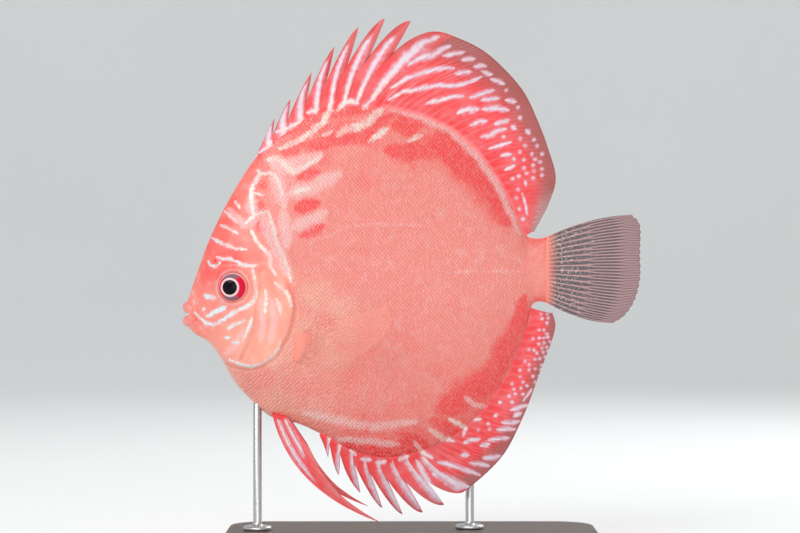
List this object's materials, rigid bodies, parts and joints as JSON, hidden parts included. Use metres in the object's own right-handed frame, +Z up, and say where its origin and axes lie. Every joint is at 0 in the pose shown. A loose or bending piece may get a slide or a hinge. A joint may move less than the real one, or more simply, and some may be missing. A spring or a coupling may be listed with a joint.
{
  "type": "discus fish model",
  "caption": "Life-size still model of a discus fish: a high, thin disc of a body with long back and belly fins, a fan tail and a small mouth, held over a flat base by two rods.",
  "frame": {"origin": "centre of the base's underside", "axes": "+Z up, -X towards the fish's snout, -Y towards its left flank"},
  "size_m": [0.1606, 0.064, 0.187],
  "materials": {
    "skin": "wet, finely scaled skin: salmon pink flanks, orange throat, cream and bluish streaks on the head and back",
    "lip": "smooth, moist pale orange skin",
    "eye": "clear and glossy, with a red iris, a pale ring and a black pupil",
    "fin": "moist membrane, saturated red with pale streaks between the rays",
    "clear_fin": "moist, nearly clear membrane with fine pinkish rays",
    "stand_wood": "satin oiled dark wood",
    "stand_steel": "satin brushed"
  },
  "bodies": {
    "root": {"head": "skin", "trunk": "skin", "tail_stalk": "skin", "gill_cover_left": "skin", "gill_cover_right": "skin", "upper_lip": "lip", "lower_lip": "lip", "eye_left": "eye", "eye_right": "eye", "dorsal_fin_spiny": "fin", "dorsal_fin_soft": "fin", "anal_fin_spiny": "fin", "anal_fin_soft": "fin", "pelvic_fin_left": "fin", "pelvic_fin_right": "fin", "caudal_fin": "clear_fin", "pectoral_fin_left": "clear_fin", "pectoral_fin_right": "clear_fin", "stand_base": "stand_wood", "stand_rod_front": "stand_steel", "stand_rod_rear": "stand_steel"}
  },
  "joints": []
}
